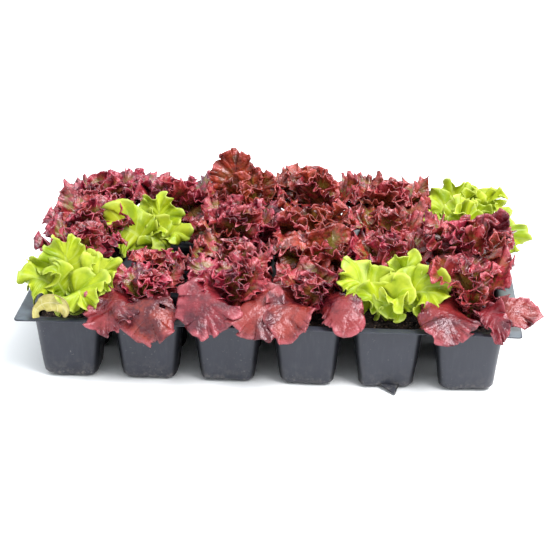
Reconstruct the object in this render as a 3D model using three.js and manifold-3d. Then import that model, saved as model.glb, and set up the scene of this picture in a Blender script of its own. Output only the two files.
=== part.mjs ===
// Planted 24-cell plug tray: a thermoformed tray, its growing-medium plugs and the
// lettuce seedlings rooted in them. Millimetres, +Z up, +X along the long side,
// -Y the front. Origin: centre of the tray's footprint, on the ground.
import * as THREE from 'three';
import Module from 'manifold-3d';
import { mergeVertices } from 'three/addons/utils/BufferGeometryUtils.js';

const wasm = await Module();
wasm.setup();

// Cell grid.
const COLUMNS = 6;
const ROWS = 4;
const PITCH_X = 56;
const PITCH_Y = 51;

// Tray sheet and flange.
const TRAY_HEIGHT = 49;
const SHEET = 0.8;
const FLANGE_SIDE_WIDTH = 8;
const FLANGE_FRONT_WIDTH = 4;
const FLANGE_CORNER_RADIUS = 6;
const FLANGE_SEGMENTS = 5;

// Outside of one cell cup, from the ground up: the flat base, the end of the rounded
// bottom edge, the top of the tapered wall, and the flared mouth inside the flange.
const CUP_CORNER_SEGMENTS = 3;
const BASE_INSET = 2.6;
const BASE_EDGE_HEIGHT = 3;
const WALL_TOP_BELOW_RIM = 2.4;
const MOUTH_FLARE = 1.7;
const CUP_BOTTOM_HALF_X = 19.2;
const CUP_BOTTOM_HALF_Y = 16.7;
const CUP_WALL_LEAN = 5.0;
const CORNER_RADIUS_BASE = 4.5;
const CORNER_RADIUS_LOW = 6.5;
const CORNER_RADIUS_HIGH = 8.0;
const CORNER_RADIUS_MOUTH = 9.2;
const DRAIN_RADIUS = 5;
const DRAIN_SEGMENTS = 10;

// Growing-medium plug.
const SIDE_CLEARANCE = 0.4;
const FIT_CLEARANCE = 0.3;
const FILL_BELOW_RIM = 5;
const DIBBLE_RADIUS = 4;
const DIBBLE_DEPTH = 12;
const DIBBLE_SEGMENTS = 8;

// Lettuce crown: half spread along X and Y, kept inside the plant's own cell pitch.
const CROWN_HALF_X = 27.3;
const CROWN_HALF_Y = 24.8;
const CROWN_SEGMENTS = 15;
const CROWN_LOBES = 5;
const CROWN_LOBE_DEPTH = 0.2;
const CROWN_LOBE_DROOP = 2.5;
const CROWN_BASE_ABOVE_MEDIUM = 1.5;
// Crown outline from its base (0) to its top (1): fraction of height, fraction of spread.
const CROWN_PROFILE = [
  [0.18, 0.60],
  [0.30, 0.96],
  [0.62, 1.00],
  [0.90, 0.62],
];

// Height of each plant above the rim, front row first, left column first.
const PLANT_RISE = [
  [48, 28, 36, 32, 44, 44],
  [42, 26, 36, 40, 42, 56],
  [44, 46, 44, 46, 46, 48],
  [44, 50, 68, 56, 50, 46],
];
const GREEN_PLANTS = ['r1_c1', 'r1_c5', 'r3_c2', 'r3_c6', 'r4_c6'];

const trayPlastic = new THREE.MeshStandardMaterial({
  color: 0x3b4047,
  roughness: 0.5,
  metalness: 0,
});
const growingMedium = new THREE.MeshStandardMaterial({
  color: 0x2a1f19,
  roughness: 1,
  metalness: 0,
});
const redLeaf = new THREE.MeshStandardMaterial({
  color: 0x8a2238,
  roughness: 0.5,
  metalness: 0,
});
const greenLeaf = new THREE.MeshStandardMaterial({
  color: 0xa6cc2c,
  roughness: 0.5,
  metalness: 0,
});

function solid(geometry) {
  const bare = geometry.clone();
  bare.deleteAttribute('normal');
  bare.deleteAttribute('uv');
  const merged = mergeVertices(bare, 1e-4);
  const corners = merged.index.array;
  const kept = [];
  for (let i = 0; i < corners.length; i += 3) {
    const [a, b, c] = [corners[i], corners[i + 1], corners[i + 2]];
    if (a !== b && b !== c && c !== a) {
      kept.push(a, b, c);
    }
  }
  return new wasm.Manifold(new wasm.Mesh({
    numProp: 3,
    vertProperties: new Float32Array(merged.attributes.position.array),
    triVerts: new Uint32Array(kept),
  }));
}

function meshOf(manifold, name, material) {
  const raw = manifold.getMesh();
  const geometry = new THREE.BufferGeometry();
  const positions = new Float32Array(raw.numVert * 3);
  for (let v = 0; v < raw.numVert; v += 1) {
    for (let k = 0; k < 3; k += 1) {
      positions[v * 3 + k] = raw.vertProperties[v * raw.numProp + k];
    }
  }
  geometry.setAttribute('position', new THREE.BufferAttribute(positions, 3));
  geometry.setIndex(new THREE.BufferAttribute(new Uint32Array(raw.triVerts), 1));
  geometry.computeVertexNormals();
  const mesh = new THREE.Mesh(geometry, material);
  mesh.name = name;
  return mesh;
}

function roundedRectangle(halfX, halfY, radius, segments) {
  const points = [];
  const corners = [[1, -1], [1, 1], [-1, 1], [-1, -1]];
  corners.forEach(([signX, signY], corner) => {
    for (let s = 0; s <= segments; s += 1) {
      const angle = (corner - 1 + s / segments) * Math.PI / 2;
      points.push(new THREE.Vector2(
        signX * (halfX - radius) + radius * Math.cos(angle),
        signY * (halfY - radius) + radius * Math.sin(angle),
      ));
    }
  });
  return new THREE.Shape(points);
}

// A tapered block with rounded corners through the given levels, bottom level first.
// The first level's outline is extruded one unit per level and then drawn out.
function taperedBlock(levels) {
  const first = levels[0];
  const shape = roundedRectangle(first.halfX, first.halfY, first.radius, CUP_CORNER_SEGMENTS);
  const geometry = new THREE.ExtrudeGeometry(shape, {
    depth: levels.length - 1,
    steps: levels.length - 1,
    bevelEnabled: false,
  });
  const position = geometry.attributes.position;
  for (let v = 0; v < position.count; v += 1) {
    const x = position.getX(v);
    const y = position.getY(v);
    const level = levels[Math.round(position.getZ(v))];
    const arcX = (Math.abs(x) - first.halfX + first.radius) / first.radius;
    const arcY = (Math.abs(y) - first.halfY + first.radius) / first.radius;
    position.setXYZ(
      v,
      Math.sign(x) * (level.halfX - level.radius + arcX * level.radius),
      Math.sign(y) * (level.halfY - level.radius + arcY * level.radius),
      level.z,
    );
  }
  return solid(geometry);
}

function wallHalfAt(bottomHalf, z) {
  const wallTop = TRAY_HEIGHT - WALL_TOP_BELOW_RIM;
  const share = (z - BASE_EDGE_HEIGHT) / (wallTop - BASE_EDGE_HEIGHT);
  return bottomHalf + CUP_WALL_LEAN * share;
}

function cupLevel(z, widen, radius) {
  return {
    z,
    halfX: wallHalfAt(CUP_BOTTOM_HALF_X, z) + widen,
    halfY: wallHalfAt(CUP_BOTTOM_HALF_Y, z) + widen,
    radius,
  };
}

function cupOutside() {
  return taperedBlock([
    cupLevel(0, -BASE_INSET, CORNER_RADIUS_BASE),
    cupLevel(BASE_EDGE_HEIGHT, 0, CORNER_RADIUS_LOW),
    cupLevel(TRAY_HEIGHT - WALL_TOP_BELOW_RIM, 0, CORNER_RADIUS_HIGH),
    cupLevel(TRAY_HEIGHT - SHEET / 2, MOUTH_FLARE, CORNER_RADIUS_MOUTH),
  ]);
}

function cupInside() {
  const above = 1;
  return taperedBlock([
    cupLevel(SHEET, -BASE_INSET - SHEET / 2, CORNER_RADIUS_BASE - SHEET / 2),
    cupLevel(BASE_EDGE_HEIGHT + SHEET / 3, -SHEET, CORNER_RADIUS_LOW - SHEET),
    cupLevel(TRAY_HEIGHT - WALL_TOP_BELOW_RIM + SHEET / 2, -SHEET, CORNER_RADIUS_HIGH - SHEET),
    cupLevel(TRAY_HEIGHT + above, MOUTH_FLARE, CORNER_RADIUS_MOUTH),
  ]);
}

function cylinder(radius, bottom, top, segments) {
  const geometry = new THREE.CylinderGeometry(radius, radius, top - bottom, segments);
  geometry.rotateX(Math.PI / 2);
  geometry.translate(0, 0, (top + bottom) / 2);
  return solid(geometry);
}

function cellCentre(row, column) {
  return [
    (column - (COLUMNS - 1) / 2) * PITCH_X,
    (row - (ROWS - 1) / 2) * PITCH_Y,
    0,
  ];
}

function makeTray() {
  const halfX = COLUMNS * PITCH_X / 2 + FLANGE_SIDE_WIDTH;
  const halfY = ROWS * PITCH_Y / 2 + FLANGE_FRONT_WIDTH;
  const deck = new THREE.ExtrudeGeometry(
    roundedRectangle(halfX, halfY, FLANGE_CORNER_RADIUS, FLANGE_SEGMENTS),
    { depth: SHEET, steps: 1, bevelEnabled: false },
  );
  deck.translate(0, 0, TRAY_HEIGHT - SHEET);
  const outside = cupOutside();
  const inside = cupInside().add(cylinder(DRAIN_RADIUS, -1, 2 * SHEET, DRAIN_SEGMENTS));
  let tray = solid(deck);
  for (let row = 0; row < ROWS; row += 1) {
    for (let column = 0; column < COLUMNS; column += 1) {
      tray = tray.add(outside.translate(cellCentre(row, column)));
    }
  }
  for (let row = 0; row < ROWS; row += 1) {
    for (let column = 0; column < COLUMNS; column += 1) {
      tray = tray.subtract(inside.translate(cellCentre(row, column)));
    }
  }
  return meshOf(tray, 'tray', trayPlastic);
}

function makePlug() {
  const gap = SHEET + SIDE_CLEARANCE;
  const top = TRAY_HEIGHT - FILL_BELOW_RIM;
  const body = taperedBlock([
    cupLevel(SHEET + FIT_CLEARANCE, -BASE_INSET - gap, CORNER_RADIUS_BASE - gap / 2),
    cupLevel(BASE_EDGE_HEIGHT + gap / 2, -gap, CORNER_RADIUS_LOW - gap),
    cupLevel(top, -gap, CORNER_RADIUS_HIGH - gap),
  ]);
  const hole = cylinder(DIBBLE_RADIUS, top - DIBBLE_DEPTH, top + 1, DIBBLE_SEGMENTS);
  return body.subtract(hole);
}

// One closed form: root neck in the dibble hole, short stem, lobed crown of leaves.
function makeLettuce(rise, turn) {
  const mediumTop = TRAY_HEIGHT - FILL_BELOW_RIM;
  const neckRadius = DIBBLE_RADIUS - FIT_CLEARANCE;
  const crownBase = mediumTop + CROWN_BASE_ABOVE_MEDIUM;
  const crownTop = TRAY_HEIGHT + rise;
  const outline = [
    new THREE.Vector2(0, mediumTop - DIBBLE_DEPTH + FIT_CLEARANCE),
    new THREE.Vector2(neckRadius * 0.5, mediumTop - DIBBLE_DEPTH + FIT_CLEARANCE),
    new THREE.Vector2(neckRadius, crownBase),
  ];
  for (const [height, spread] of CROWN_PROFILE) {
    outline.push(new THREE.Vector2(
      CROWN_HALF_X * spread,
      crownBase + (crownTop - crownBase) * height,
    ));
  }
  outline.push(new THREE.Vector2(0, crownTop));
  const geometry = new THREE.LatheGeometry(outline, CROWN_SEGMENTS);
  geometry.rotateX(Math.PI / 2);
  const position = geometry.attributes.position;
  for (let v = 0; v < position.count; v += 1) {
    const x = position.getX(v);
    const y = position.getY(v);
    const z = position.getZ(v);
    const radius = Math.hypot(x, y);
    if (radius <= neckRadius * 1.01) {
      continue;
    }
    const wave = Math.cos(CROWN_LOBES * (Math.atan2(y, x) - turn));
    const lobe = 1 - CROWN_LOBE_DEPTH * (1 - wave) / 2;
    const droop = CROWN_LOBE_DROOP * wave * radius / CROWN_HALF_X;
    position.setXYZ(v, x * lobe, y * lobe * CROWN_HALF_Y / CROWN_HALF_X, z - droop);
  }
  return solid(geometry);
}

const group = new THREE.Group();
group.add(makeTray());
const plug = makePlug();
for (let row = 0; row < ROWS; row += 1) {
  for (let column = 0; column < COLUMNS; column += 1) {
    const place = `r${row + 1}_c${column + 1}`;
    const centre = cellCentre(row, column);
    group.add(meshOf(plug.translate(centre), `plug_${place}`, growingMedium));
    const turn = (row * COLUMNS + column) * 0.7;
    const lettuce = makeLettuce(PLANT_RISE[row][column], turn).translate(centre);
    const leaf = GREEN_PLANTS.includes(place) ? greenLeaf : redLeaf;
    group.add(meshOf(lettuce, `lettuce_${place}`, leaf));
  }
}

export default group;
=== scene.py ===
"""Planted 24-cell plug tray: a thermoformed sheet tray, its peat plugs and ruffled lettuce seedlings.

The modelling code works in millimetres in the CAD's frame; make_piece turns them into metres.
"""

import itertools
import math

import bpy
import numpy as np
from mathutils import Matrix, Vector


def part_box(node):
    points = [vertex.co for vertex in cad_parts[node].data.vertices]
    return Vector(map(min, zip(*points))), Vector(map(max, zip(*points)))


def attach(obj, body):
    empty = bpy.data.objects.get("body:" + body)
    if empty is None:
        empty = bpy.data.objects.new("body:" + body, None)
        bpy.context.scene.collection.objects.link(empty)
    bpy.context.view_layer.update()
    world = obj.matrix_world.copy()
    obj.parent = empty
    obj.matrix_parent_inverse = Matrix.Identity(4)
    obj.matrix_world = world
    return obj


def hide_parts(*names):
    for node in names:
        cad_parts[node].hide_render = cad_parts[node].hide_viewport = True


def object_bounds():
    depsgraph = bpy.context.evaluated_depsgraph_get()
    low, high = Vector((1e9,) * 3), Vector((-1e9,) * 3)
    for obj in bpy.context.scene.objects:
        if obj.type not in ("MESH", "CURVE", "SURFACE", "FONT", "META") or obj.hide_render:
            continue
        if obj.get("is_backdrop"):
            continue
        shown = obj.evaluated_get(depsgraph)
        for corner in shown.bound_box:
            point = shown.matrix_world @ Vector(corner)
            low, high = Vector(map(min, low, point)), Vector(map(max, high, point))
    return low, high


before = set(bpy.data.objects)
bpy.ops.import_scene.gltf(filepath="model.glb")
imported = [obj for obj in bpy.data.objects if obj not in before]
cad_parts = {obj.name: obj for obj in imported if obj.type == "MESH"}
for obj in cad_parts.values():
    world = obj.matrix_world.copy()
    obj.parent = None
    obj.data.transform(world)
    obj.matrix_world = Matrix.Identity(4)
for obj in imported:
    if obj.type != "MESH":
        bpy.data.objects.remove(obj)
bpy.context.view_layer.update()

MM = 1000.0
ROWS, COLUMNS = 4, 6
SEED = 4107


# ---- frame measurements


def node_box(name):
    low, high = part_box(name)
    return np.array(low) * MM, np.array(high) * MM


PLACES = [(r, c) for r in range(1, ROWS + 1) for c in range(1, COLUMNS + 1)]
TRAY_HIGH = node_box("tray")[1]
RIM_Z = TRAY_HIGH[2]
PLUG_LOW, PLUG_HIGH = node_box("plug_r1_c1")
MEDIUM_Z = PLUG_HIGH[2]
CENTRES = {}
for r, c in PLACES:
    low, high = node_box(f"plug_r{r}_c{c}")
    CENTRES[r, c] = (low[:2] + high[:2]) / 2
PITCH_X = CENTRES[1, 2][0] - CENTRES[1, 1][0]
PITCH_Y = CENTRES[2, 1][1] - CENTRES[1, 1][1]


# ---- small tools


def tag_of(place):
    return f"r{place[0]}_c{place[1]}"


def generator(*key):
    return np.random.default_rng([SEED, *key])


def unit(rows, least=1e-6):
    return rows / np.maximum(np.linalg.norm(rows, axis=1), least)[:, None]


def smoothstep(low, high, x):
    t = np.clip((x - low) / (high - low), 0.0, 1.0)
    return t * t * (3 - 2 * t)


def lattice_noise(points, size, seed):
    """Smooth noise from -1 to 1 at (n, 3) points, with features about size across."""
    side = 20
    values = np.random.default_rng([SEED, 77, seed]).uniform(-1, 1, (side, side, side))
    q = points / size + 3.7 * seed
    cell = np.floor(q).astype(int)
    f = q - cell
    f = f * f * (3 - 2 * f)
    total = np.zeros(len(points))
    for corner in itertools.product((0, 1), repeat=3):
        x, y, z = (f[:, k] if far else 1 - f[:, k] for k, far in enumerate(corner))
        i, j, k = ((cell + corner) % side).T
        total += x * y * z * values[i, j, k]
    return total


WELD_DISTANCE = 0.02


def weld(points, faces):
    """Merges points that lie together and drops faces that collapse."""
    keys = np.round(points / WELD_DISTANCE).astype(np.int64)
    _, first, inverse = np.unique(keys, axis=0, return_index=True, return_inverse=True)
    inverse = inverse.reshape(-1)
    kept = []
    for face in inverse[faces]:
        ring = [v for i, v in enumerate(face) if v != face[i - 1]]
        if len(set(ring)) == len(ring) and len(ring) > 2:
            kept.append(ring)
    return points[first], kept


def new_object(name, data):
    made = bpy.data.objects.new(name, data)
    bpy.context.scene.collection.objects.link(made)
    return made


def make_piece(name, points, faces, material, values=None):
    mesh = bpy.data.meshes.new(name)
    faces = faces.tolist() if isinstance(faces, np.ndarray) else faces
    mesh.from_pydata((np.asarray(points) / MM).tolist(), [], faces)
    for key, numbers in (values or {}).items():
        layer = mesh.attributes.new(key, "FLOAT", "POINT")
        layer.data.foreach_set("value", np.asarray(numbers, dtype=np.float32))
    mesh.polygons.foreach_set("use_smooth", [True] * len(mesh.polygons))
    mesh.materials.append(material)
    mesh.update()
    return new_object(name, mesh)


def thicken(piece, thickness_mm, offset):
    solid = piece.modifiers.new("thickness", "SOLIDIFY")
    solid.thickness = thickness_mm / MM
    solid.offset = offset
    solid.use_even_offset = False
    solid.use_rim = True


def stand_for(piece, body, node):
    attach(piece, body)
    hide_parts(node)


class Soup:
    """Collects point and face arrays, with float values per point, into one mesh."""

    def __init__(self):
        self.points, self.faces, self.values, self.count = [], [], {}, 0

    def add(self, points, faces, values=None):
        self.points.append(points)
        self.faces.extend((np.asarray(faces) + self.count).tolist())
        for key, numbers in (values or {}).items():
            self.values.setdefault(key, []).append(np.broadcast_to(numbers, (len(points),)))
        self.count += len(points)

    def piece(self, name, material):
        values = {key: np.concatenate(parts) for key, parts in self.values.items()}
        return make_piece(name, np.concatenate(self.points), self.faces, material, values)


# ---- material tools


# The light is strong enough to burn the floor out to white, so every colour built from nodes is
# darkened by this factor.
TONE = 0.72


class Shader:
    """A short way to write a node tree ending in one Principled BSDF."""

    def __init__(self, name):
        self.material = bpy.data.materials.new(name)
        self.material.use_nodes = True
        self.tree = self.material.node_tree
        self.tree.nodes.clear()
        self.out = self.tree.nodes.new("ShaderNodeOutputMaterial")
        self.bsdf = self.tree.nodes.new("ShaderNodeBsdfPrincipled")
        self.tree.links.new(self.bsdf.outputs[0], self.out.inputs[0])
        self.where = self.add("ShaderNodeTexCoord").outputs["Object"]

    def add(self, kind, inputs=None, **settings):
        node = self.tree.nodes.new(kind)
        for key, value in settings.items():
            setattr(node, key, value)
        for key, value in (inputs or {}).items():
            self.put(node.inputs[key], value)
        return node

    def put(self, socket, value):
        if isinstance(value, bpy.types.NodeSocket):
            self.tree.links.new(value, socket)
        elif isinstance(value, (tuple, list)) and len(value) == 3 and socket.type == "RGBA":
            socket.default_value = (*value, 1)
        else:
            socket.default_value = value

    def value(self, name):
        return self.add("ShaderNodeAttribute", attribute_name=name).outputs["Fac"]

    def noise(self, scale, detail=3.0, rough=0.55, where=None, distortion=0.0):
        names = ("Vector", "Scale", "Detail", "Roughness", "Distortion")
        inputs = dict(zip(names, (where or self.where, scale, detail, rough, distortion)))
        return self.add("ShaderNodeTexNoise", inputs).outputs["Fac"]

    def stretched(self, x, y, z):
        return self.add(
            "ShaderNodeVectorMath", {0: self.where, 1: (x, y, z)}, operation="MULTIPLY"
        ).outputs[0]

    def math(self, operation, a, b=0.0):
        return self.add("ShaderNodeMath", {0: a, 1: b}, operation=operation).outputs[0]

    def times(self, a, b):
        return self.math("MULTIPLY", a, b)

    def size_of(self, value):
        return self.math("ABSOLUTE", value)

    def ramp(self, value, low, high, out_low=0.0, out_high=1.0):
        names = ("Value", "From Min", "From Max", "To Min", "To Max")
        inputs = dict(zip(names, (value, low, high, out_low, out_high)))
        return self.add("ShaderNodeMapRange", inputs, interpolation_type="SMOOTHSTEP").outputs[0]

    def mix(self, share, a, b, blend="MIX"):
        node = self.add("ShaderNodeMix", data_type="RGBA", blend_type=blend)
        self.put(node.inputs[0], share)
        self.put(node.inputs[6], a)
        self.put(node.inputs[7], b)
        return node.outputs[2]

    def bump(self, height, strength, distance_mm):
        return self.add(
            "ShaderNodeBump",
            {"Height": height, "Strength": strength, "Distance": distance_mm / MM},
        ).outputs[0]

    def finish(self, **inputs):
        base = inputs["Base_Color"]
        if isinstance(base, bpy.types.NodeSocket):
            inputs["Base_Color"] = self.mix(1.0, base, (TONE, TONE, TONE), "MULTIPLY")
        for key, value in inputs.items():
            self.put(self.bsdf.inputs[key.replace("_", " ")], value)
        return self.material


# ---- materials


def tray_plastic():
    s = Shader("tray_plastic")
    streaks = s.noise(1.0, 4, 0.6, s.stretched(420, 420, 60))
    cloud = s.noise(45, 3)
    grain = s.noise(2600, 2, 0.6)
    place = s.add("ShaderNodeSeparateXYZ", {0: s.where}).outputs
    base = s.mix(cloud, (0.026, 0.028, 0.041), (0.044, 0.047, 0.065))
    base = s.mix(s.ramp(streaks, 0.45, 0.75, 0, 0.4), base, (0.062, 0.066, 0.082))
    low_part = s.ramp(place["Z"], 0.022, 0.0, 0.0, 1.0)
    dust = s.times(s.ramp(s.noise(150, 5, 0.7), 0.44, 0.66), low_part)
    base = s.mix(s.times(dust, 0.55), base, (0.150, 0.138, 0.135))
    band = s.times(s.ramp(s.noise(330, 4, 0.7), 0.50, 0.64), s.ramp(place["Z"], 0.008, 0.003))
    base = s.mix(s.times(band, 0.7), base, (0.27, 0.25, 0.23))
    scuff = s.ramp(s.noise(1.0, 4, 0.7, s.stretched(190, 190, 620), 1.2), 0.66, 0.76)
    base = s.mix(s.times(scuff, 0.35), base, (0.16, 0.17, 0.19))
    specks = s.ramp(s.noise(560, 2, 0.5), 0.67, 0.73)
    base = s.mix(s.times(specks, s.ramp(cloud, 0.45, 0.6, 0, 0.5)), base, (0.24, 0.23, 0.22))
    facing = s.add("ShaderNodeNewGeometry").outputs["Normal"]
    facing = s.add("ShaderNodeSeparateXYZ", {0: facing}).outputs
    # Painted shade: cup walls facing each other across the gaps between cells, and all walls of the inner
    # rows, are darkened nearly to black below the rim and lose most of their specular.
    between_x = s.math(
        "MULTIPLY",
        s.ramp(s.size_of(facing["X"]), 0.40, 0.85),
        s.ramp(s.size_of(place["X"]), 0.152, 0.146),
    )
    between_y = s.ramp(s.size_of(place["Y"]), 0.090, 0.080)
    # Painted light: the cup walls are lightened towards +X, the side the key light stands on.
    base = s.mix(s.ramp(place["X"], -0.17, 0.17, 0.0, 0.35), base, (0.085, 0.088, 0.105))
    gap_shade_mask = s.math("MAXIMUM", between_x, between_y)
    painted_gap_shade = s.times(gap_shade_mask, s.ramp(place["Z"], 0.047, 0.043))
    base = s.mix(s.times(painted_gap_shade, 0.85), base, (0.008, 0.008, 0.009))
    # Painted sky reflection: the upward-facing flange tops at the left and right ends are lightened to a
    # pale blue-grey in patches.
    painted_flange_sheen = s.times(s.ramp(facing["Z"], 0.85, 0.98), s.ramp(place["Z"], 0.046, 0.048))
    painted_flange_sheen = s.times(painted_flange_sheen, s.ramp(s.noise(90, 4, 0.6), 0.30, 0.62, 0.35, 0.85))
    painted_flange_sheen = s.times(painted_flange_sheen, s.ramp(s.size_of(place["X"]), 0.164, 0.168, 0.1, 1.0))
    base = s.mix(painted_flange_sheen, base, (0.150, 0.185, 0.215))
    rough = s.ramp(cloud, 0.3, 0.7, 0.30, 0.42)
    rough = s.math("ADD", rough, s.times(dust, 0.3))
    relief = s.math("ADD", s.times(streaks, 0.7), s.times(grain, 0.12))
    return s.finish(
        Base_Color=base,
        Roughness=rough,
        Specular_IOR_Level=s.ramp(painted_gap_shade, 0.0, 1.0, 0.32, 0.08),
        Normal=s.bump(relief, 0.35, 0.35),
    )


def growing_medium():
    s = Shader("growing_medium")
    fine = s.noise(900, 5, 0.7)
    coarse = s.noise(240, 4, 0.65)
    fibre = s.noise(1.0, 4, 0.6, s.stretched(1500, 500, 900), 1.5)
    base = s.mix(fine, (0.010, 0.005, 0.004), (0.034, 0.018, 0.013))
    base = s.mix(s.ramp(coarse, 0.55, 0.70, 0, 0.6), base, (0.085, 0.034, 0.022))
    base = s.mix(s.ramp(fibre, 0.62, 0.72, 0, 0.7), base, (0.14, 0.070, 0.040))
    bits = s.ramp(s.noise(560, 2, 0.5), 0.60, 0.70)
    base = s.mix(s.times(bits, 0.75), base, (0.40, 0.26, 0.17))
    relief = s.math("ADD", fine, s.times(coarse, 1.5))
    return s.finish(
        Base_Color=base,
        Roughness=s.ramp(fine, 0.3, 0.7, 0.7, 1.0),
        Specular_IOR_Level=0.3,
        Normal=s.bump(relief, 0.8, 0.6),
    )


def root_white():
    s = Shader("root_white")
    cloud = s.noise(180, 3)
    base = s.mix(cloud, (0.42, 0.34, 0.22), (0.78, 0.72, 0.58))
    return s.finish(Base_Color=base, Roughness=s.ramp(cloud, 0.3, 0.7, 0.5, 0.7))


def vein_value(s, count):
    """Bright thin lines running from the midrib to the margin, and the midrib itself."""
    along, across = s.value("vein_at"), s.value("margin")
    wander = s.times(s.noise(60, 2), 0.10)
    wave = s.math("SINE", s.times(s.math("ADD", along, wander), math.pi * 2 * count))
    lines = s.ramp(wave, 0.86, 1.0)
    lines = s.times(lines, s.ramp(across, 1.0, 0.55, 0.0, 1.0))
    midrib = s.ramp(across, 0.085, 0.03)
    return s.math("MAXIMUM", s.times(lines, 0.65), midrib)


def red_leaf():
    s = Shader("red_leaf")
    margin, tint, up = s.value("margin"), s.value("tint"), s.value("up")
    cloud = s.noise(60, 4, 0.6)
    patch = s.noise(170, 3, 0.6)
    fine = s.noise(520, 3, 0.65)
    blister = s.noise(330, 2, 0.5)
    deep = s.mix(tint, (0.090, 0.005, 0.015), (0.120, 0.016, 0.008))
    bright = s.mix(tint, (0.53, 0.019, 0.060), (0.54, 0.072, 0.022))
    base = s.mix(s.ramp(s.mix(0.5, patch, cloud), 0.36, 0.62), deep, bright)
    # Painted sheen: patches of greyish lavender, the look of the sky reflected off the gloss.
    sheen_grey = s.mix(tint, (0.16, 0.075, 0.105), (0.22, 0.115, 0.090))
    painted_sheen = s.times(s.ramp(s.noise(75, 3, 0.5), 0.54, 0.66, 0, 0.6), s.value("olive"))
    base = s.mix(painted_sheen, base, sheen_grey)
    inner = s.times(s.ramp(margin, 0.95, 0.45), s.ramp(s.noise(130, 3, 0.6), 0.41, 0.54))
    inner = s.times(inner, s.value("olive"))
    base = s.mix(inner, base, s.mix(fine, (0.11, 0.080, 0.008), (0.32, 0.26, 0.035)))
    heart = s.times(s.ramp(up, 0.45, 0.05), s.ramp(margin, 0.9, 0.3))
    heart = s.times(heart, s.value("olive"))
    base = s.mix(s.times(heart, 0.8), base, (0.17, 0.16, 0.035))
    # Painted highlight: pale pink patches along the margins.
    rim = s.times(s.ramp(margin, 0.55, 1.0), s.ramp(patch, 0.50, 0.62))
    base = s.mix(s.times(rim, 0.45), base, (0.72, 0.20, 0.24))
    vein = s.times(vein_value(s, 9), s.ramp(cloud, 0.4, 0.6, 0.0, 0.22))
    base = s.mix(vein, base, (0.50, 0.22, 0.18))
    dots = s.times(s.ramp(fine, 0.52, 0.66, 0, 0.6), s.ramp(s.value("olive"), 0.05, 0.6))
    base = s.mix(dots, base, (0.06, 0.004, 0.010))
    calm = s.ramp(s.value("olive"), 0.2, 0.1)
    crimson = s.mix(tint, (0.19, 0.010, 0.030), (0.30, 0.030, 0.016))
    plain = s.mix(s.ramp(cloud, 0.36, 0.62), (0.075, 0.005, 0.013), crimson)
    lit_edge = s.times(s.ramp(margin, 0.70, 0.98), s.ramp(cloud, 0.40, 0.58))
    plain = s.mix(lit_edge, plain, (0.42, 0.085, 0.105))
    base = s.mix(s.times(calm, 0.85), base, plain)
    relief = s.math("ADD", s.times(fine, 0.5), s.times(blister, 1.0))
    return s.finish(
        Base_Color=base,
        Roughness=s.ramp(cloud, 0.3, 0.7, 0.18, 0.32),
        Specular_IOR_Level=0.6,
        Specular_Tint=(1.0, 0.86, 0.92, 1.0),
        Normal=s.bump(relief, 0.9, 0.9),
    )


def green_leaf():
    s = Shader("green_leaf")
    margin, tint, up = s.value("margin"), s.value("tint"), s.value("up")
    cloud = s.noise(60, 4, 0.6)
    fine = s.noise(420, 4, 0.65)
    deep = s.mix(tint, (0.24, 0.36, 0.004), (0.32, 0.44, 0.006))
    bright = s.mix(tint, (0.52, 0.62, 0.012), (0.62, 0.68, 0.045))
    base = s.mix(s.ramp(cloud, 0.32, 0.66), deep, bright)
    # Painted shade: darker green low in the plant.
    base = s.mix(s.ramp(up, 0.50, 0.05, 0, 0.7), base, (0.16, 0.27, 0.004))
    base = s.mix(s.ramp(margin, 0.80, 1.0, 0, 0.45), base, (0.72, 0.80, 0.16))
    vein = vein_value(s, 8)
    base = s.mix(s.times(vein, 0.35), base, (0.70, 0.80, 0.22))
    base = s.mix(s.ramp(fine, 0.5, 0.8, 0, 0.3), base, (0.34, 0.50, 0.008))
    relief = s.math("SUBTRACT", s.times(fine, 0.6), s.times(vein, 0.5))
    return s.finish(
        Base_Color=base,
        Roughness=s.ramp(cloud, 0.3, 0.7, 0.34, 0.48),
        Specular_IOR_Level=0.3,
        Normal=s.bump(relief, 0.5, 0.5),
    )


def dead_leaf():
    s = Shader("dead_leaf")
    margin = s.value("margin")
    cloud = s.noise(150, 4, 0.6)
    base = s.mix(s.ramp(cloud, 0.3, 0.7), (0.40, 0.34, 0.060), (0.66, 0.58, 0.20))
    base = s.mix(s.ramp(margin, 0.75, 1.0, 0, 0.7), base, (0.34, 0.26, 0.08))
    base = s.mix(s.times(vein_value(s, 5), 0.5), base, (0.75, 0.70, 0.42))
    return s.finish(
        Base_Color=base,
        Roughness=s.ramp(cloud, 0.3, 0.7, 0.5, 0.7),
        Normal=s.bump(cloud, 0.5, 0.5),
    )


TRAY_PLASTIC, MEDIUM, ROOT = tray_plastic(), growing_medium(), root_white()
RED, GREEN, DEAD = red_leaf(), green_leaf(), dead_leaf()


# ---- tray sheet

SHEET = 0.8
CORNER_STEPS, SIDE_STEPS = 6, 4
DECK_CORNER = 5.0
FLANGE_CORNER = 3.5
FLANGE = TRAY_HIGH[:2] - np.array([PITCH_X * COLUMNS, PITCH_Y * ROWS]) / 2
CUP_LOW_HALF = np.array([19.2, 16.7]) - SHEET
CUP_LEAN = 5.0
EDGE_Z, WALL_TOP_Z = 3.0, RIM_Z - 2.4
MOUTH_FILLET, BASE_FILLET = 2.2, 4.2
DRAIN_RADIUS = 5.0
FOOT_CORNER, WALL_CORNER, MOUTH_CORNER = 4.0, 6.0, 7.6


def wall_half(z):
    return CUP_LOW_HALF + CUP_LEAN * (z - EDGE_Z) / (WALL_TOP_Z - EDGE_Z)


def outer_half(z):
    return CUP_LOW_HALF + SHEET + CUP_LEAN * (z - EDGE_Z) / (WALL_TOP_Z - EDGE_Z)


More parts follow.
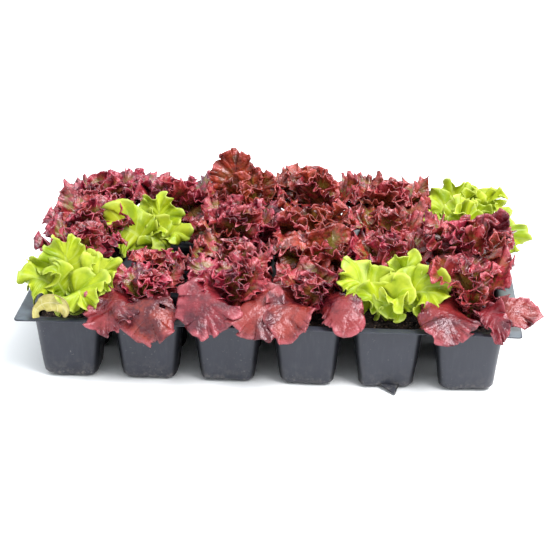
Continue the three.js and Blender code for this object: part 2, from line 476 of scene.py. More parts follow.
def corner_places():
    """(corner, side of x, side of y, share of the way round it) for every point of a ring."""
    for corner, (sx, sy) in enumerate([(1, -1), (1, 1), (-1, 1), (-1, -1)]):
        for step in range(CORNER_STEPS + 1):
            yield corner, sx, sy, step / CORNER_STEPS


def rounded_ring(half, radius):
    points = []
    for corner, sx, sy, t in corner_places():
        angle = (corner - 1 + t) * math.pi / 2
        x = sx * (half[0] - radius) + radius * math.cos(angle)
        points.append((x, sy * (half[1] - radius) + radius * math.sin(angle)))
    return with_sides(points)


def square_ring(half, reach):
    """Same points as rounded_ring, drawn out to the corners of a rectangle."""
    points = []
    for corner, sx, sy, t in corner_places():
        before, after = reach * max(0, 1 - 2 * t), reach * max(0, 2 * t - 1)
        back_x, back_y = (before, after) if corner % 2 == 0 else (after, before)
        points.append((sx * (half[0] - back_x), sy * (half[1] - back_y)))
    return with_sides(points)


def with_sides(points):
    per_corner = CORNER_STEPS + 1
    ring = []
    for corner in range(4):
        ring += points[corner * per_corner:(corner + 1) * per_corner]
        start, end = ring[-1], points[((corner + 1) % 4) * per_corner]
        for step in range(1, SIDE_STEPS):
            t = step / SIDE_STEPS
            ring.append((start[0] + (end[0] - start[0]) * t, start[1] + (end[1] - start[1]) * t))
    return np.array(ring)


def cup_rings():
    """(points, z) of the inside of one cell, from its drain hole out to the deck."""
    floor_z = SHEET
    base = rounded_ring(wall_half(floor_z) - BASE_FILLET, FOOT_CORNER)
    angle = np.arctan2(base[:, 1], base[:, 0])
    circle = DRAIN_RADIUS * np.stack([np.cos(angle), np.sin(angle)], axis=1)
    rings = [(circle, floor_z), (circle + (base - circle) * 0.5, floor_z), (base, floor_z)]
    for turn in (25, 50, 75):
        a = math.radians(turn)
        z = floor_z + BASE_FILLET * (1 - math.cos(a))
        half = wall_half(z) - BASE_FILLET * (1 - math.sin(a))
        rings.append((rounded_ring(half, FOOT_CORNER + 2.0 * math.sin(a)), z))
    top = RIM_Z - MOUTH_FILLET
    for share in np.linspace(0.09, 1.0, 9):
        z = floor_z + BASE_FILLET + (top - floor_z - BASE_FILLET) * share
        rings.append((rounded_ring(wall_half(z), WALL_CORNER + 1.6 * share), z))
    for turn in (30, 60, 90):
        a = math.radians(turn)
        z = top + MOUTH_FILLET * math.sin(a)
        half = wall_half(top) + MOUTH_FILLET * (1 - math.cos(a))
        rings.append((rounded_ring(half, MOUTH_CORNER + MOUTH_FILLET * (1 - math.cos(a))), z))
    rings.append((square_ring(np.array([PITCH_X, PITCH_Y]) / 2, DECK_CORNER), RIM_Z))
    return rings


def grid_faces(rows, columns, closed):
    faces = []
    for i in range(rows - 1):
        for j in range(columns if closed else columns - 1):
            k = (j + 1) % columns
            faces.append((i * columns + j, i * columns + k, (i + 1) * columns + k, (i + 1) * columns + j))
    return np.array(faces)


def tray_piece():
    rings = cup_rings()
    points = np.concatenate([np.c_[ring, np.full(len(ring), z)] for ring, z in rings])
    faces = grid_faces(len(rings), len(rings[0][0]), True)[:, ::-1]
    soup = Soup()
    for place in PLACES:
        soup.add(points + [*CENTRES[place], 0], faces)
    for strip in flange_strips():
        soup.add(*strip)
    points, faces = weld(np.concatenate(soup.points), np.array(soup.faces))
    piece = make_piece("tray_sheet", formed(points), faces, TRAY_PLASTIC)
    thicken(piece, SHEET, -1)
    return piece


def flange_strips():
    """Strips from the outer edge of the cell grid to the flange's rounded edge."""
    half = np.array([PITCH_X * COLUMNS, PITCH_Y * ROWS]) / 2
    cell = square_ring(np.array([PITCH_X, PITCH_Y]) / 2, DECK_CORNER)
    edge = set()
    for place in PLACES:
        for x, y in cell + CENTRES[place]:
            if abs(x) > half[0] - 0.01 or abs(y) > half[1] - 0.01:
                edge.add((round(x, 4), round(y, 4)))
    edge = np.array(sorted(edge, key=lambda p: math.atan2(p[1] / half[1], p[0] / half[0])))
    strips = [np.c_[edge, np.full(len(edge), RIM_Z)]]
    for out, drop in ((0.35, 0.0), (0.7, 0.03), (0.93, 0.10), (1.0, 0.30)):
        ring = np.array([flange_point(p, half, out) for p in edge])
        strips.append(np.c_[ring, np.full(len(ring), RIM_Z - drop)])
    made = []
    for inner, outer in zip(strips, strips[1:]):
        made.append((np.concatenate([inner, outer]), grid_faces(2, len(edge), True)[:, ::-1]))
    return made


def flange_point(p, half, share):
    """Where a point of the cell grid's edge lies when pushed out by a share of the flange."""
    out = share * FLANGE
    into_x, into_y = half[0] - abs(p[0]), half[1] - abs(p[1])
    if into_x > DECK_CORNER:
        return p[0], p[1] + math.copysign(out[1], p[1])
    if into_y > DECK_CORNER:
        return p[0] + math.copysign(out[0], p[0]), p[1]
    turn = math.pi / 4 * (1 + (into_y - into_x) / DECK_CORNER)
    reach = max(0.0, DECK_CORNER - into_x), max(0.0, DECK_CORNER - into_y)
    square = np.array([
        math.copysign(half[0] - DECK_CORNER + reach[0], p[0]),
        math.copysign(half[1] - DECK_CORNER + reach[1], p[1]),
    ])
    centre = half + out - FLANGE_CORNER
    arc = np.array([
        math.copysign(centre[0] + FLANGE_CORNER * math.sin(turn), p[0]),
        math.copysign(centre[1] + FLANGE_CORNER * math.cos(turn), p[1]),
    ])
    return tuple(square * (1 - share) + arc * share)


def formed(points):
    """The slight unevenness of drawn sheet: wavy walls, and a rim that sags a little."""
    moved = points.copy()
    depth = smoothstep(RIM_Z, RIM_Z - 12, points[:, 2]) * smoothstep(0.0, 4.0, points[:, 2])
    wave = lattice_noise(points, 19.0, 1) * 0.30 + lattice_noise(points, 7.0, 2) * 0.10
    wave += lattice_noise(points, 11.0, 5) * 0.75 * smoothstep(20.0, 4.0, points[:, 2])
    centre_x = (np.floor(points[:, 0] / PITCH_X) + 0.5) * PITCH_X
    centre_y = (np.floor(points[:, 1] / PITCH_Y) + 0.5) * PITCH_Y
    outward = unit(np.c_[points[:, 0] - centre_x, points[:, 1] - centre_y])
    moved[:, :2] += outward * (wave * depth)[:, None]
    foot = np.maximum(
        np.abs(points[:, 0] - centre_x) / CUP_LOW_HALF[0], np.abs(points[:, 1] - centre_y) / CUP_LOW_HALF[1]
    )
    dents = np.clip(lattice_noise(points, 9.0, 6) + 0.15, 0, 1) * smoothstep(0.55, 0.95, foot)
    moved[:, 2] += 1.9 * dents * smoothstep(6.0, 2.0, points[:, 2])
    rim = smoothstep(RIM_Z - 14, RIM_Z, points[:, 2])
    flange = np.maximum(np.abs(points[:, 0]) - 160, np.abs(points[:, 1]) - 96) / 10
    flange = np.clip(flange, 0, 1)
    moved[:, 2] += rim * flange * (0.35 * lattice_noise(points, 60.0, 3) - 0.25)
    return moved


# ---- growing medium

MEDIUM_STEPS = 48
MEDIUM_GAP = 0.75
CRUMBS, CRUMB_REACH = 110, (20.5, 18.5)
ROOTS, ROOT_STEPS = 16, 18


def medium_rings():
    """(half, corner radius, z, crumb) from the centre of the underside to the centre of the top."""
    inset = SHEET + MEDIUM_GAP

    def half_at(z):
        return outer_half(z) - inset

    low_z = PLUG_LOW[2] + 0.2
    rings = []
    for share in (0.25, 0.5, 0.75, 0.92):
        rings.append((half_at(low_z) * share - 3.0 * share, 5.0 * share, low_z, 0.3))
    rings.append((half_at(low_z) - 2.0, 5.0, low_z + 0.4, 0.4))
    rings.append((half_at(low_z + 2.2) - 0.5, 5.5, low_z + 2.2, 0.4))
    for z in np.linspace(low_z + 4.2, MEDIUM_Z - 1.6, 16):
        rings.append((half_at(z), 6.0, z, 0.45))
    rings.append((half_at(MEDIUM_Z - 0.6) - 0.4, 6.0, MEDIUM_Z - 0.5, 0.6))
    for share in (0.94, 0.86, 0.77, 0.68, 0.59, 0.50, 0.41, 0.32, 0.22, 0.12):
        rings.append((half_at(MEDIUM_Z) * share, 6.0 * share, MEDIUM_Z, 1.0))
    return rings


def medium_piece(place):
    index = PLACES.index(place)
    rings = medium_rings()
    points, crumb = [], []
    for half, radius, z, rough in rings:
        ring = resampled(rounded_ring(half, radius), MEDIUM_STEPS)
        points.append(np.c_[ring, np.full(MEDIUM_STEPS, z)])
        crumb.append(np.full(MEDIUM_STEPS, rough))
    points, crumb = np.concatenate(points), np.concatenate(crumb)
    faces = grid_faces(len(rings), MEDIUM_STEPS, True)
    moved = points + [*CENTRES[place], 0]
    top = smoothstep(MEDIUM_Z - 1.2, MEDIUM_Z - 0.3, points[:, 2])
    lumps = (
        lattice_noise(moved, 6.0, 11 + index) * 0.9
        + lattice_noise(moved, 2.4, 12 + index) * 0.9
        + lattice_noise(moved, 1.3, 13 + index) * 0.5
    )
    moved[:, 2] += top * (lumps - 0.9)
    pit = np.abs(lattice_noise(moved, 3.0, 14 + index))
    pit = pit + 0.5 * np.abs(lattice_noise(moved, 1.6, 15 + index))
    side = (1 - top) * smoothstep(0.9, 3.0, points[:, 2])
    outward = unit(points[:, :2])
    moved[:, :2] -= outward * (pit * side * 0.9)[:, None]
    ends = [moved[:MEDIUM_STEPS].mean(axis=0), moved[-MEDIUM_STEPS:].mean(axis=0)]
    faces = faces.tolist()
    points = np.concatenate([moved, ends])
    bottom, crown, start = len(moved), len(moved) + 1, len(moved) - MEDIUM_STEPS
    for j in range(MEDIUM_STEPS):
        k = (j + 1) % MEDIUM_STEPS
        faces.append((bottom, k, j))
        faces.append((crown, start + j, start + k))
    soup = Soup()
    soup.points, soup.faces, soup.count = [points], faces, len(points)
    scatter_crumbs(soup, place, index)
    tag = tag_of(place)
    piece = soup.piece(f"medium_{tag}", MEDIUM)
    stand_for(piece, f"seedling_{tag}", f"plug_{tag}")


def resampled(ring, count):
    closed = np.vstack([ring, ring[:1]])
    walk = np.r_[0, np.cumsum(np.linalg.norm(np.diff(closed, axis=0), axis=1))]
    at = np.linspace(0, walk[-1], count, endpoint=False)
    return np.c_[np.interp(at, walk, closed[:, 0]), np.interp(at, walk, closed[:, 1])]


def lump_shape():
    """A twelve-cornered lump of radius 1."""
    g = (1 + math.sqrt(5)) / 2
    corners = []
    for a in (-1, 1):
        for b in (-g, g):
            corners += [(0, a, b), (a, b, 0), (b, 0, a)]
    corners = np.array(corners) / math.hypot(1, g)
    faces = []
    for i in range(12):
        for j in range(i + 1, 12):
            for k in range(j + 1, 12):
                trio = corners[[i, j, k]]
                edges = [np.linalg.norm(trio[m] - trio[m - 1]) for m in range(3)]
                if max(edges) < 1.2:
                    normal = np.cross(trio[1] - trio[0], trio[2] - trio[0])
                    out = np.dot(normal, trio.mean(axis=0)) > 0
                    faces.append((i, j, k) if out else (i, k, j))
    return corners, np.array(faces)


LUMP = lump_shape()


def scatter_crumbs(soup, place, index):
    random = generator(21, index)
    corners, faces = LUMP
    for _ in range(CRUMBS):
        size = random.uniform(0.35, 1.25) * random.uniform(0.7, 1.2)
        squash = random.uniform(0.5, 1.3, 3)
        x, y = (random.uniform(-reach, reach) for reach in CRUMB_REACH)
        shape = corners * squash * size * random.uniform(0.8, 1.2, (12, 1))
        turn = random.uniform(0, math.tau)
        (x0, y0, z0), cos, sin = shape.T, math.cos(turn), math.sin(turn)
        turned = np.c_[x0 * cos - y0 * sin, x0 * sin + y0 * cos, z0]
        z = MEDIUM_Z - 0.7 + random.uniform(-0.3, 0.7)
        soup.add(turned + [CENTRES[place][0] + x, CENTRES[place][1] + y, z], faces)


def roots_piece(place):
    """Fine white roots that wander over the sides of the plug."""
    index = PLACES.index(place)
    random = generator(31, index)
    soup = Soup()
    for _ in range(ROOTS):
        start = random.uniform(0, 1)
        top = random.uniform(0.35, 0.9)
        length = random.uniform(0.25, 0.8)
        share = np.linspace(0, 1, ROOT_STEPS)
        drift = np.cumsum(random.normal(0, 0.010, ROOT_STEPS)) + random.normal(0, 0.03) * share
        z = PLUG_LOW[2] + 2.5 + (MEDIUM_Z - PLUG_LOW[2] - 5) * np.clip(top - length * share, 0, 1)
        path = []
        for at, height in zip((start + drift) % 1.0, z):
            ring = resampled(rounded_ring(outer_half(height) - SHEET - 1.0, WALL_CORNER), 240)
            path.append((*ring[int(at * 240) % 240], height))
        path = np.array(path)
        for _ in range(2):
            path[1:-1] = (path[:-2] + 2 * path[1:-1] + path[2:]) / 4
        add_tube(soup, path + [*CENTRES[place], 0], random.uniform(0.16, 0.30))
    tag = tag_of(place)
    piece = soup.piece(f"roots_{tag}", ROOT)
    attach(piece, f"seedling_{tag}")


TUBE_SIDES, TUBE_TAPER = 5, 0.6


def add_tube(soup, path, radius):
    ahead = unit(np.gradient(path, axis=0), 1e-9)
    helper = np.where(np.abs(ahead[:, 2:3]) > 0.9, [[1.0, 0, 0]], [[0, 0, 1.0]])
    u = unit(np.cross(ahead, helper), 1e-9)
    v = np.cross(ahead, u)
    points = []
    count = len(path)
    for i in range(count):
        r = radius * (1 - TUBE_TAPER * i / (count - 1))
        for k in range(TUBE_SIDES):
            a = math.tau * k / TUBE_SIDES
            points.append(path[i] + r * (u[i] * math.cos(a) + v[i] * math.sin(a)))
    points.append(path[0] - ahead[0] * radius)
    points.append(path[-1] + ahead[-1] * radius * (1 - TUBE_TAPER))
    faces = grid_faces(count, TUBE_SIDES, True).tolist()
    head, tail = count * TUBE_SIDES, count * TUBE_SIDES + 1
    last = (count - 1) * TUBE_SIDES
    for k in range(TUBE_SIDES):
        n = (k + 1) % TUBE_SIDES
        faces.append((head, n, k))
        faces.append((tail, last + k, last + n))
    soup.points.append(np.array(points))
    soup.faces.extend([tuple(i + soup.count for i in face) for face in faces])
    soup.count += len(points)


# ---- lettuce

HALF_STEPS = 72
RIB_STEPS = 5
LEAF_THICKNESS = 0.45
REST_SOFTNESS = 1.3
SIDE_SHARE = 0.94
HOLD_START = 0.9
# Ruffles as (height mm, wavelength mm along the margin, how closely they keep to the margin).
RED_WAVES = ((3.0, 23.0, 1.8), (2.2, 10.0, 3.0), (2.0, 5.0, 5.0))
GREEN_WAVES = ((4.0, 19.0, 1.8), (2.5, 9.5, 2.8), (1.1, 5.0, 4.5))
SMOOTH_WAVES = ((2.2, 38.0, 1.8), (1.1, 14.0, 4.0), (0.7, 6.0, 7.0))


def ripple(random, length_mm):
    """A smooth wandering value, from about -1 to 1, of a distance in millimetres."""
    phase = random.uniform(0, math.tau, 3)

    def at(m):
        turn = math.tau * m / length_mm
        return (
            np.sin(turn + phase[0])
            + 0.6 * np.sin(1.73 * turn + phase[1])
            + 0.4 * np.sin(2.9 * turn + phase[2])
        ) / 1.6

    return at


def leaf_margin(length, width, petiole, fan):
    """Half-width, height and place along the margin at even steps from base to tip."""
    x = np.linspace(0, 1, 300)
    blade = np.sin(np.pi * x ** fan) ** 0.60 * smoothstep(0.02, 0.5, x)
    half = width / 2 * (petiole * (1 - x) + blade)
    half[-1] = 0
    up = x * length
    walk = np.r_[0, np.cumsum(np.hypot(np.diff(half), np.diff(up)))]
    at = np.linspace(0, walk[-1], HALF_STEPS + 1)
    return np.interp(at, walk, half), np.interp(at, walk, up), at


def leaf_sheet(random, spec):
    """Flat leaf with a ruffled margin: lateral, along, height, margin share, vein place; faces."""
    length, width = spec["length"], spec["width"]
    half, up, at = leaf_margin(length, width, spec.get("petiole", 0.16), spec.get("fan", 1.6))
    rho = 1 - (1 - np.linspace(0, 1, RIB_STEPS + 1)) ** 1.5
    foot = up * (1 - 0.26 * (up / length))
    drift, lobes = ripple(random, 37.0), ripple(random, 19.0)
    waves = []
    for height, wave, power in spec.get("waves", RED_WAVES):
        stretched, phase = wave * random.uniform(0.9, 1.1), random.uniform(0, math.tau)
        waves.append((height, stretched, power, phase, ripple(random, 2.1 * wave)))
    blister_at = random.uniform(0, 50)
    da, db = np.gradient(half), np.gradient(up)
    size = np.maximum(np.hypot(da, db), 1e-9)
    ahead = np.stack([da, db]) / size
    outward = np.stack([ahead[1], -ahead[0]])
    r = rho[None, :]
    reach = smoothstep(0.08, 0.36, up / length)
    parts = []
    for sign in (1, -1):
        m = at if sign > 0 else 2 * at[-1] - at
        flat_a, flat_b = half[:, None] * r, foot[:, None] + (up - foot)[:, None] * r
        span = np.broadcast_arrays(sign * flat_a, flat_b, blister_at)
        swirl = lattice_noise(np.stack(span, axis=-1).reshape(-1, 3), 15.0, 33).reshape(len(m), -1)
        edge = (reach * spec.get("lobe", 0.06) * width * lobes(m))[:, None] * r ** 2
        shift, h = 0.0, 0.0
        for height, wave, power, phase, swell in waves:
            turn = (math.tau * m / wave + 1.2 * drift(m + wave) + phase)[:, None] + 1.8 * swirl * (1 - r)
            gain = (reach * (1 + 0.45 * swell(m)))[:, None] * r ** power
            h = h + gain * height * np.sin(turn)
            shift = shift - sign * reach[:, None] * 0.065 * wave * np.sin(2 * turn) * r ** power
        a = flat_a + outward[0][:, None] * edge + ahead[0][:, None] * shift
        b = flat_b + outward[1][:, None] * edge + ahead[1][:, None] * shift
        flat = np.stack([sign * a, b, np.full_like(a, blister_at)], axis=-1).reshape(-1, 3)
        puckers = lattice_noise(flat, 4.4, 31).reshape(a.shape) * smoothstep(0.0, 0.3, r)
        h = h + spec.get("pucker", 0.9) * puckers * reach[:, None]
        vein = np.broadcast_to(up[:, None] / length, a.shape)
        parts.append((sign * a, b, h, np.broadcast_to(r, a.shape), vein))
    return joined_halves(parts, spec.get("hole"))


def joined_halves(parts, hole):
    """One mesh from the two halves of a leaf, sharing the midrib and the tip."""
    rows, columns = HALF_STEPS + 1, RIB_STEPS + 1
    count = rows * columns
    right = np.arange(count).reshape(rows, columns)
    kept = np.ones((rows, columns), bool)
    kept[:, 0] = False
    kept[-1, :] = False
    left = np.full((rows, columns), -1)
    left[kept] = count + np.arange(kept.sum())
    left[:, 0] = right[:, 0]
    left[-1, :] = right[-1, :]
    faces = []
    for i in range(rows - 1):
        for j in range(columns - 1):
            faces.append((right[i, j], right[i, j + 1], right[i + 1, j + 1], right[i + 1, j]))
            faces.append((left[i, j], left[i + 1, j], left[i + 1, j + 1], left[i, j + 1]))
    faces = np.array(faces)
    packed = [np.r_[one.reshape(-1), other[kept]] for one, other in zip(*parts)]
    if hole:
        x, y, wide, high = hole
        middle_x, middle_y = packed[0][faces].mean(axis=1), packed[1][faces].mean(axis=1)
        faces = faces[((middle_x - x) / wide) ** 2 + ((middle_y - y) / high) ** 2 > 1]
    return packed, faces


def bent_midrib(spec, along):
    """Points and directions of a midrib given by its rise at base and tip."""
    length = spec["length"]
    share = np.clip(along / length, 0, 1.15)
    angle = np.radians(spec["rise0"] + (spec["rise1"] - spec["rise0"]) * share ** 1.2)
    turn = math.radians(spec["azimuth"]) + np.radians(spec.get("sweep", 0.0)) * share ** 1.5
    ahead = np.stack([np.cos(angle) * np.cos(turn), np.cos(angle) * np.sin(turn), np.sin(angle)], axis=1)
    face = np.stack([-np.sin(angle) * np.cos(turn), -np.sin(angle) * np.sin(turn), np.cos(angle)], axis=1)
    path = np.cumsum(ahead, axis=0) * (along[1] - along[0])
    return path - path[np.searchsorted(along, 0)], ahead, face


def bezier(path, steps):
    """Points of the cubic curve shaped by four control points."""
    t = np.linspace(0, 1, steps)[:, None]
    p0, p1, p2, p3 = np.array(path, float)
    ends = (1 - t) ** 3 * p0 + 3 * t * (1 - t) ** 2 * p1
    return ends + 3 * t * t * (1 - t) * p2 + t ** 3 * p3


def drawn_midrib(spec, along):
    """Points and directions of a midrib drawn as a cubic curve."""
    curve = bezier(spec["path"], 200)
    walk = np.r_[0, np.cumsum(np.linalg.norm(np.diff(curve, axis=0), axis=1))]
    path = np.stack([np.interp(along, walk, curve[:, k]) for k in range(3)], axis=1)
    first, last = curve[1] - curve[0], curve[-1] - curve[-2]
    before, after = np.minimum(along, 0), np.maximum(along - walk[-1], 0)
    path += before[:, None] * first / np.linalg.norm(first) + after[:, None] * last / np.linalg.norm(last)
    ahead = np.gradient(path, axis=0)
    return path, ahead, np.broadcast_to(np.array(spec["face"], float), ahead.shape)


def drawn_length(path):
    return float(np.linalg.norm(np.diff(bezier(path, 100), axis=0), axis=1).sum())


def placed_leaf(random, spec):
    """Lays a ruffled leaf sheet along its midrib curve, base at the origin."""
    if "path" in spec:
        spec = {**spec, "length": drawn_length(spec["path"])}
    (a, b, h, margin, vein), faces = leaf_sheet(random, spec)
    length, width = spec["length"], spec["width"]
    bend = spec.get("roll", 0.6)
    if abs(bend) > 1e-3:
        k = bend / width
        h = h + (1 - np.cos(k * a)) / k
        a = np.sin(k * a) / k
    along = np.linspace(-0.15 * length, 1.35 * length, 300)
    path, ahead, face = (drawn_midrib if "path" in spec else bent_midrib)(spec, along)
    ahead = ahead / np.linalg.norm(ahead, axis=1)[:, None]
    side = np.cross(ahead, face)
    side /= np.linalg.norm(side, axis=1)[:, None]
    normal = np.cross(side, ahead)

    def at(values):
        return np.stack([np.interp(b, along, values[:, k]) for k in range(3)], axis=1)

    twist = np.radians(spec.get("twist", 0.0)) * np.clip(b / length, 0, 1)
    across = a * np.cos(twist) - h * np.sin(twist)
    lift = a * np.sin(twist) + h * np.cos(twist)
    points = at(path) + at(side) * across[:, None] + at(normal) * lift[:, None]
    return points, faces, margin, vein


def ground_under(x, y):
    """Height a leaf rests on: deck inside the rim, medium over the cells, nothing outside."""
    distance_x = np.abs((x / PITCH_X) % 1.0 - 0.5) * PITCH_X
    distance_y = np.abs((y / PITCH_Y) % 1.0 - 0.5) * PITCH_Y
    deep = smoothstep(25.0, 21.5, distance_x) * smoothstep(22.5, 19.0, distance_y)
    inside = (np.abs(x) < COLUMNS * PITCH_X / 2) & (np.abs(y) < ROWS * PITCH_Y / 2)
    deck = RIM_Z + 0.7
    ground = np.where(inside, deck - deep * (deck - MEDIUM_Z - 1.0), deck)
    outside = np.maximum(np.abs(x) - TRAY_HIGH[0] - 0.5, np.abs(y) - TRAY_HIGH[1] - 0.5)
    return ground - 60 * smoothstep(0.0, 1.0, outside)


def held_in(distance, low, high):
    """Eases distances towards the limits low and high, as leaf edges press on their neighbours."""
    for limit, sign in ((high, 1), (-low, -1)):
        start = HOLD_START * limit
        room = limit - start
        over = sign * distance - start
        eased = start + room * np.tanh(np.maximum(over, 0) / room)
        distance = np.where(over > 0, sign * eased, distance)
    return distance


def side_limits(place):
    """How far a plant's leaves reach from its centre: low x, high x, low y, high y."""
    row, column = place
    return (
        -38.0 if column == 1 else -32.0,
        (31.0 if row == 1 else 38.0) if column == COLUMNS else 32.0,
        -38.0 if row == 1 else -30.0,
        36.0 if row == ROWS else 30.0,
    )


def plant_piece(place, spec):
    index = PLACES.index(place)
    random = generator(41, index, 0)
    centre = CENTRES[place]
    tag = tag_of(place)
    top = node_box(f"lettuce_{tag}")[1][2] - RIM_Z
    tall = spec.get("rise", top) + RIM_Z - MEDIUM_Z
    sheets = [(*placed_leaf(random, item), item) for item in rosette(random, tall, spec)]
    reach = max([np.percentile(sheet[0][:, 2], 99.7) for sheet in sheets], default=tall)
    scale = np.clip(tall / reach, 0.7, 1.4)
    sheets = [(sheet[0] * [1, 1, scale], *sheet[1:]) for sheet in sheets]
    sheets += [(*placed_leaf(random, item), item) for item in spec.get("leaves", [])]
    base = np.array([*(centre + spec.get("at", (0.0, 0.0))), MEDIUM_Z + 0.5])
    limits = side_limits(place)
    soup = Soup()
    for points, faces, margin, vein, item in sheets:
        tint = item.get("tint", np.clip(spec.get("warm", 0.35) + random.uniform(-0.35, 0.35), 0, 1))
        olive = item.get("olive", random.uniform(0.2, 1.0))
        seeds = 50 + 3 * index
        wobble = np.stack([lattice_noise(points + 50 * index, 12.0, seeds + k) for k in range(3)], axis=1)
        points += wobble * 1.5 * np.clip(np.linalg.norm(points, axis=1) / 25, 0, 1)[:, None]
        if not item.get("free"):
            for axis in (0, 1):
                low, high = limits[2 * axis:2 * axis + 2]
                near, far = np.percentile(points[:, axis], (4, 96))
                points[:, axis] *= min(
                    1.0, SIDE_SHARE * high / max(far, 1.0), SIDE_SHARE * low / min(near, -1.0)
                )
                points[:, axis] = held_in(points[:, axis], low, high)
        points += base
        ground = ground_under(points[:, 0], points[:, 1])
        over = (points[:, 2] - ground) / REST_SOFTNESS
        points[:, 2] = ground + REST_SOFTNESS * np.logaddexp(0, over)
        up = np.clip((points[:, 2] - MEDIUM_Z) / tall, 0, 1)
        values = {"margin": margin, "vein_at": vein, "tint": tint, "up": up, "olive": olive}
        soup.add(points, faces, values)
    is_green = spec.get("green", False)
    piece = soup.piece(f"leaves_{tag}", GREEN if is_green else RED)
    thicken(piece, LEAF_THICKNESS, 0)
    stand_for(piece, f"seedling_{tag}", f"lettuce_{tag}")


def rosette(random, tall, spec):
    """Spreading leaves towards the neighbours and cell corners, then the upright heart.

    Indices in spec["bare"], counted by 45 degrees from +X, are left out.
    """
    start = random.uniform(0, 360)
    leaves = []

    def add(azimuth, length, width, rise0, rise1):
        leaves.append({
            "azimuth": azimuth + random.uniform(-12, 12),
            "length": length * random.uniform(0.92, 1.08),
            "width": width * random.uniform(0.88, 1.14),
            "rise0": rise0 + random.uniform(-6, 6),
            "rise1": rise1 + random.uniform(-14, 12),
            "twist": random.uniform(-34, 34),
            "sweep": random.uniform(-28, 28),
            "roll": random.uniform(-0.2, 0.9),
            "waves": GREEN_WAVES if spec.get("green") else RED_WAVES,
        })

    for k in range(8):
        if k not in spec.get("bare", ()):
            if k % 2:
                add(45 * k, 0.98 * tall + 11, 36, 68, 24)
            else:
                add(45 * k, 0.95 * tall + 5, 34, 77, 38)
    for k in range(spec.get("heart", 5)):
        add(start + 72 * k, 0.98 * tall, 27, 86, 70)
    return leaves


FALLEN_THICKNESS, FLAP_THICKNESS = 0.5, 0.6


def fallen_leaf_piece():
    """A dead leaf curled into an arch, lying on the deck in front of its plant."""
    path = ((-20.0, -27.5, 0.0), (-24.5, -27.5, 14.0), (3.5, -26.5, 17.0), (0.0, -28.5, 2.0))
    spec = {
        "path": path,
        "width": 10.5,
        "petiole": 0.5,
        "fan": 1.5,
        "face": (0.0, -1.0, 0.35),
        "waves": ((0.6, 11.0, 2.0),),
        "lobe": 0.04,
        "pucker": 0.35,
        "roll": 1.3,
    }
    points, faces, margin, vein = placed_leaf(generator(61), spec)
    points += [*CENTRES[1, 1], RIM_Z + 0.9]
    points[:, 2] = np.maximum(points[:, 2], ground_under(points[:, 0], points[:, 1]) + 0.1)
    soup = Soup()
    soup.add(points, faces, {"margin": margin, "vein_at": vein})
    piece = soup.piece("fallen_leaf", DEAD)
    thicken(piece, FALLEN_THICKNESS, 0)
    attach(piece, "seedling_r1_c1")


def torn_flap_piece():
    """A pointed scrap of sheet left on the foot of one front cell."""
    x, y = CENTRES[1, 5]
    rows, columns = 8, 6
    points = []
    for i in range(rows):
        t = i / (rows - 1)
        left, right = x - 5.0 + 11.0 * t, x + 10.0 - 3.6 * t
        for j in range(columns):
            u = j / (columns - 1)
            bow = 0.9 * math.sin(math.pi * t) * math.sin(math.pi * u)
            points.append((left + (right - left) * u * 0.96, y - 15.4 - 11.6 * t, 3.4 - 2.7 * t + bow))
    piece = make_piece("torn_flap", points, grid_faces(rows, columns, False)[:, ::-1], TRAY_PLASTIC)
    thicken(piece, FLAP_THICKNESS, 0)
    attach(piece, "tray")


def drawn(path, width, face, **more):
    """One leaf by its midrib's control points from the crown, its width and where it faces."""
    fixed = {"path": ((0, 0, 0), *path), "width": width, "face": face, "free": True}
    return {**fixed, "olive": 0.1, **more}


def green(path, width, face, **more):
    return drawn(path, width, face, **{"waves": GREEN_WAVES, "lobe": 0.10, "pucker": 0.7, **more})


def smooth(path, width, face, **more):
    return drawn(path, width, face, **{"waves": SMOOTH_WAVES, "lobe": 0.045, "pucker": 0.5, **more})


FRONT = (0.0, -0.65, 0.75)
VIEWER = (0.0, -1.0, 0.25)
ALL_DRAWN = {"green": True, "bare": range(8), "heart": 0}
PLANTS = {place: {} for place in PLACES}


def plant(row, column, *leaves, **more):
    PLANTS[row, column] = {"leaves": leaves, **more}


plant(
    1, 1,
    green([(-11, -1, 22), (-24, -3, 30), (-34, -3, 20)], 34, (0.2, -0.6, 0.8)),
    green([(-2, 4, 22), (-6, 8, 38), (-9, 15, 50)], 40, VIEWER),
    green([(10, 0, 22), (22, 0, 34), (34, 2, 31)], 32, (-0.3, -0.8, 0.6)),
    green([(5, -6, 22), (10, -18, 28), (12, -27, 12)], 38, FRONT),
    green([(-6, 2, 18), (-12, -4, 32), (-14, -10, 30)], 24, FRONT),
    **ALL_DRAWN,
)
plant(
    1, 5,
    green([(-10, -2, 22), (-22, -3, 38), (-36, -2, 32)], 34, (0.3, -0.8, 0.6)),
    green([(6, 4, 20), (12, 8, 36), (15, 10, 49)], 26, VIEWER),
    green([(12, -2, 24), (26, -8, 38), (34, -16, 20)], 36, (0.2, -0.8, 0.6), lobe=0.05),
    green([(4, -8, 20), (6, -16, 30), (6, -25, 22)], 30, FRONT, roll=1.6),
    green([(16, 2, 22), (28, 4, 34), (41, 4, 28)], 22, FRONT),
    green([(-6, -4, 18), (-12, -10, 26), (-20, -16, 22)], 24, FRONT),
    **ALL_DRAWN,
)
plant(
    3, 2,
    green([(1, 5, 20), (2, 10, 36), (3, 14, 50)], 36, VIEWER),
    green([(-10, -4, 26), (-24, -10, 38), (-38, -14, 24)], 40, (0.2, -0.9, 0.5), lobe=0.05),
    green([(8, -1, 20), (16, -4, 32), (22, -12, 20)], 30, FRONT, roll=1.2),
    green([(-4, 3, 20), (-10, 6, 32), (-16, 8, 36)], 26, VIEWER),
    green([(2, -4, 18), (4, -8, 26), (4, -14, 26)], 22, FRONT),
    at=(-10.0, -2.0),
    **ALL_DRAWN,
)
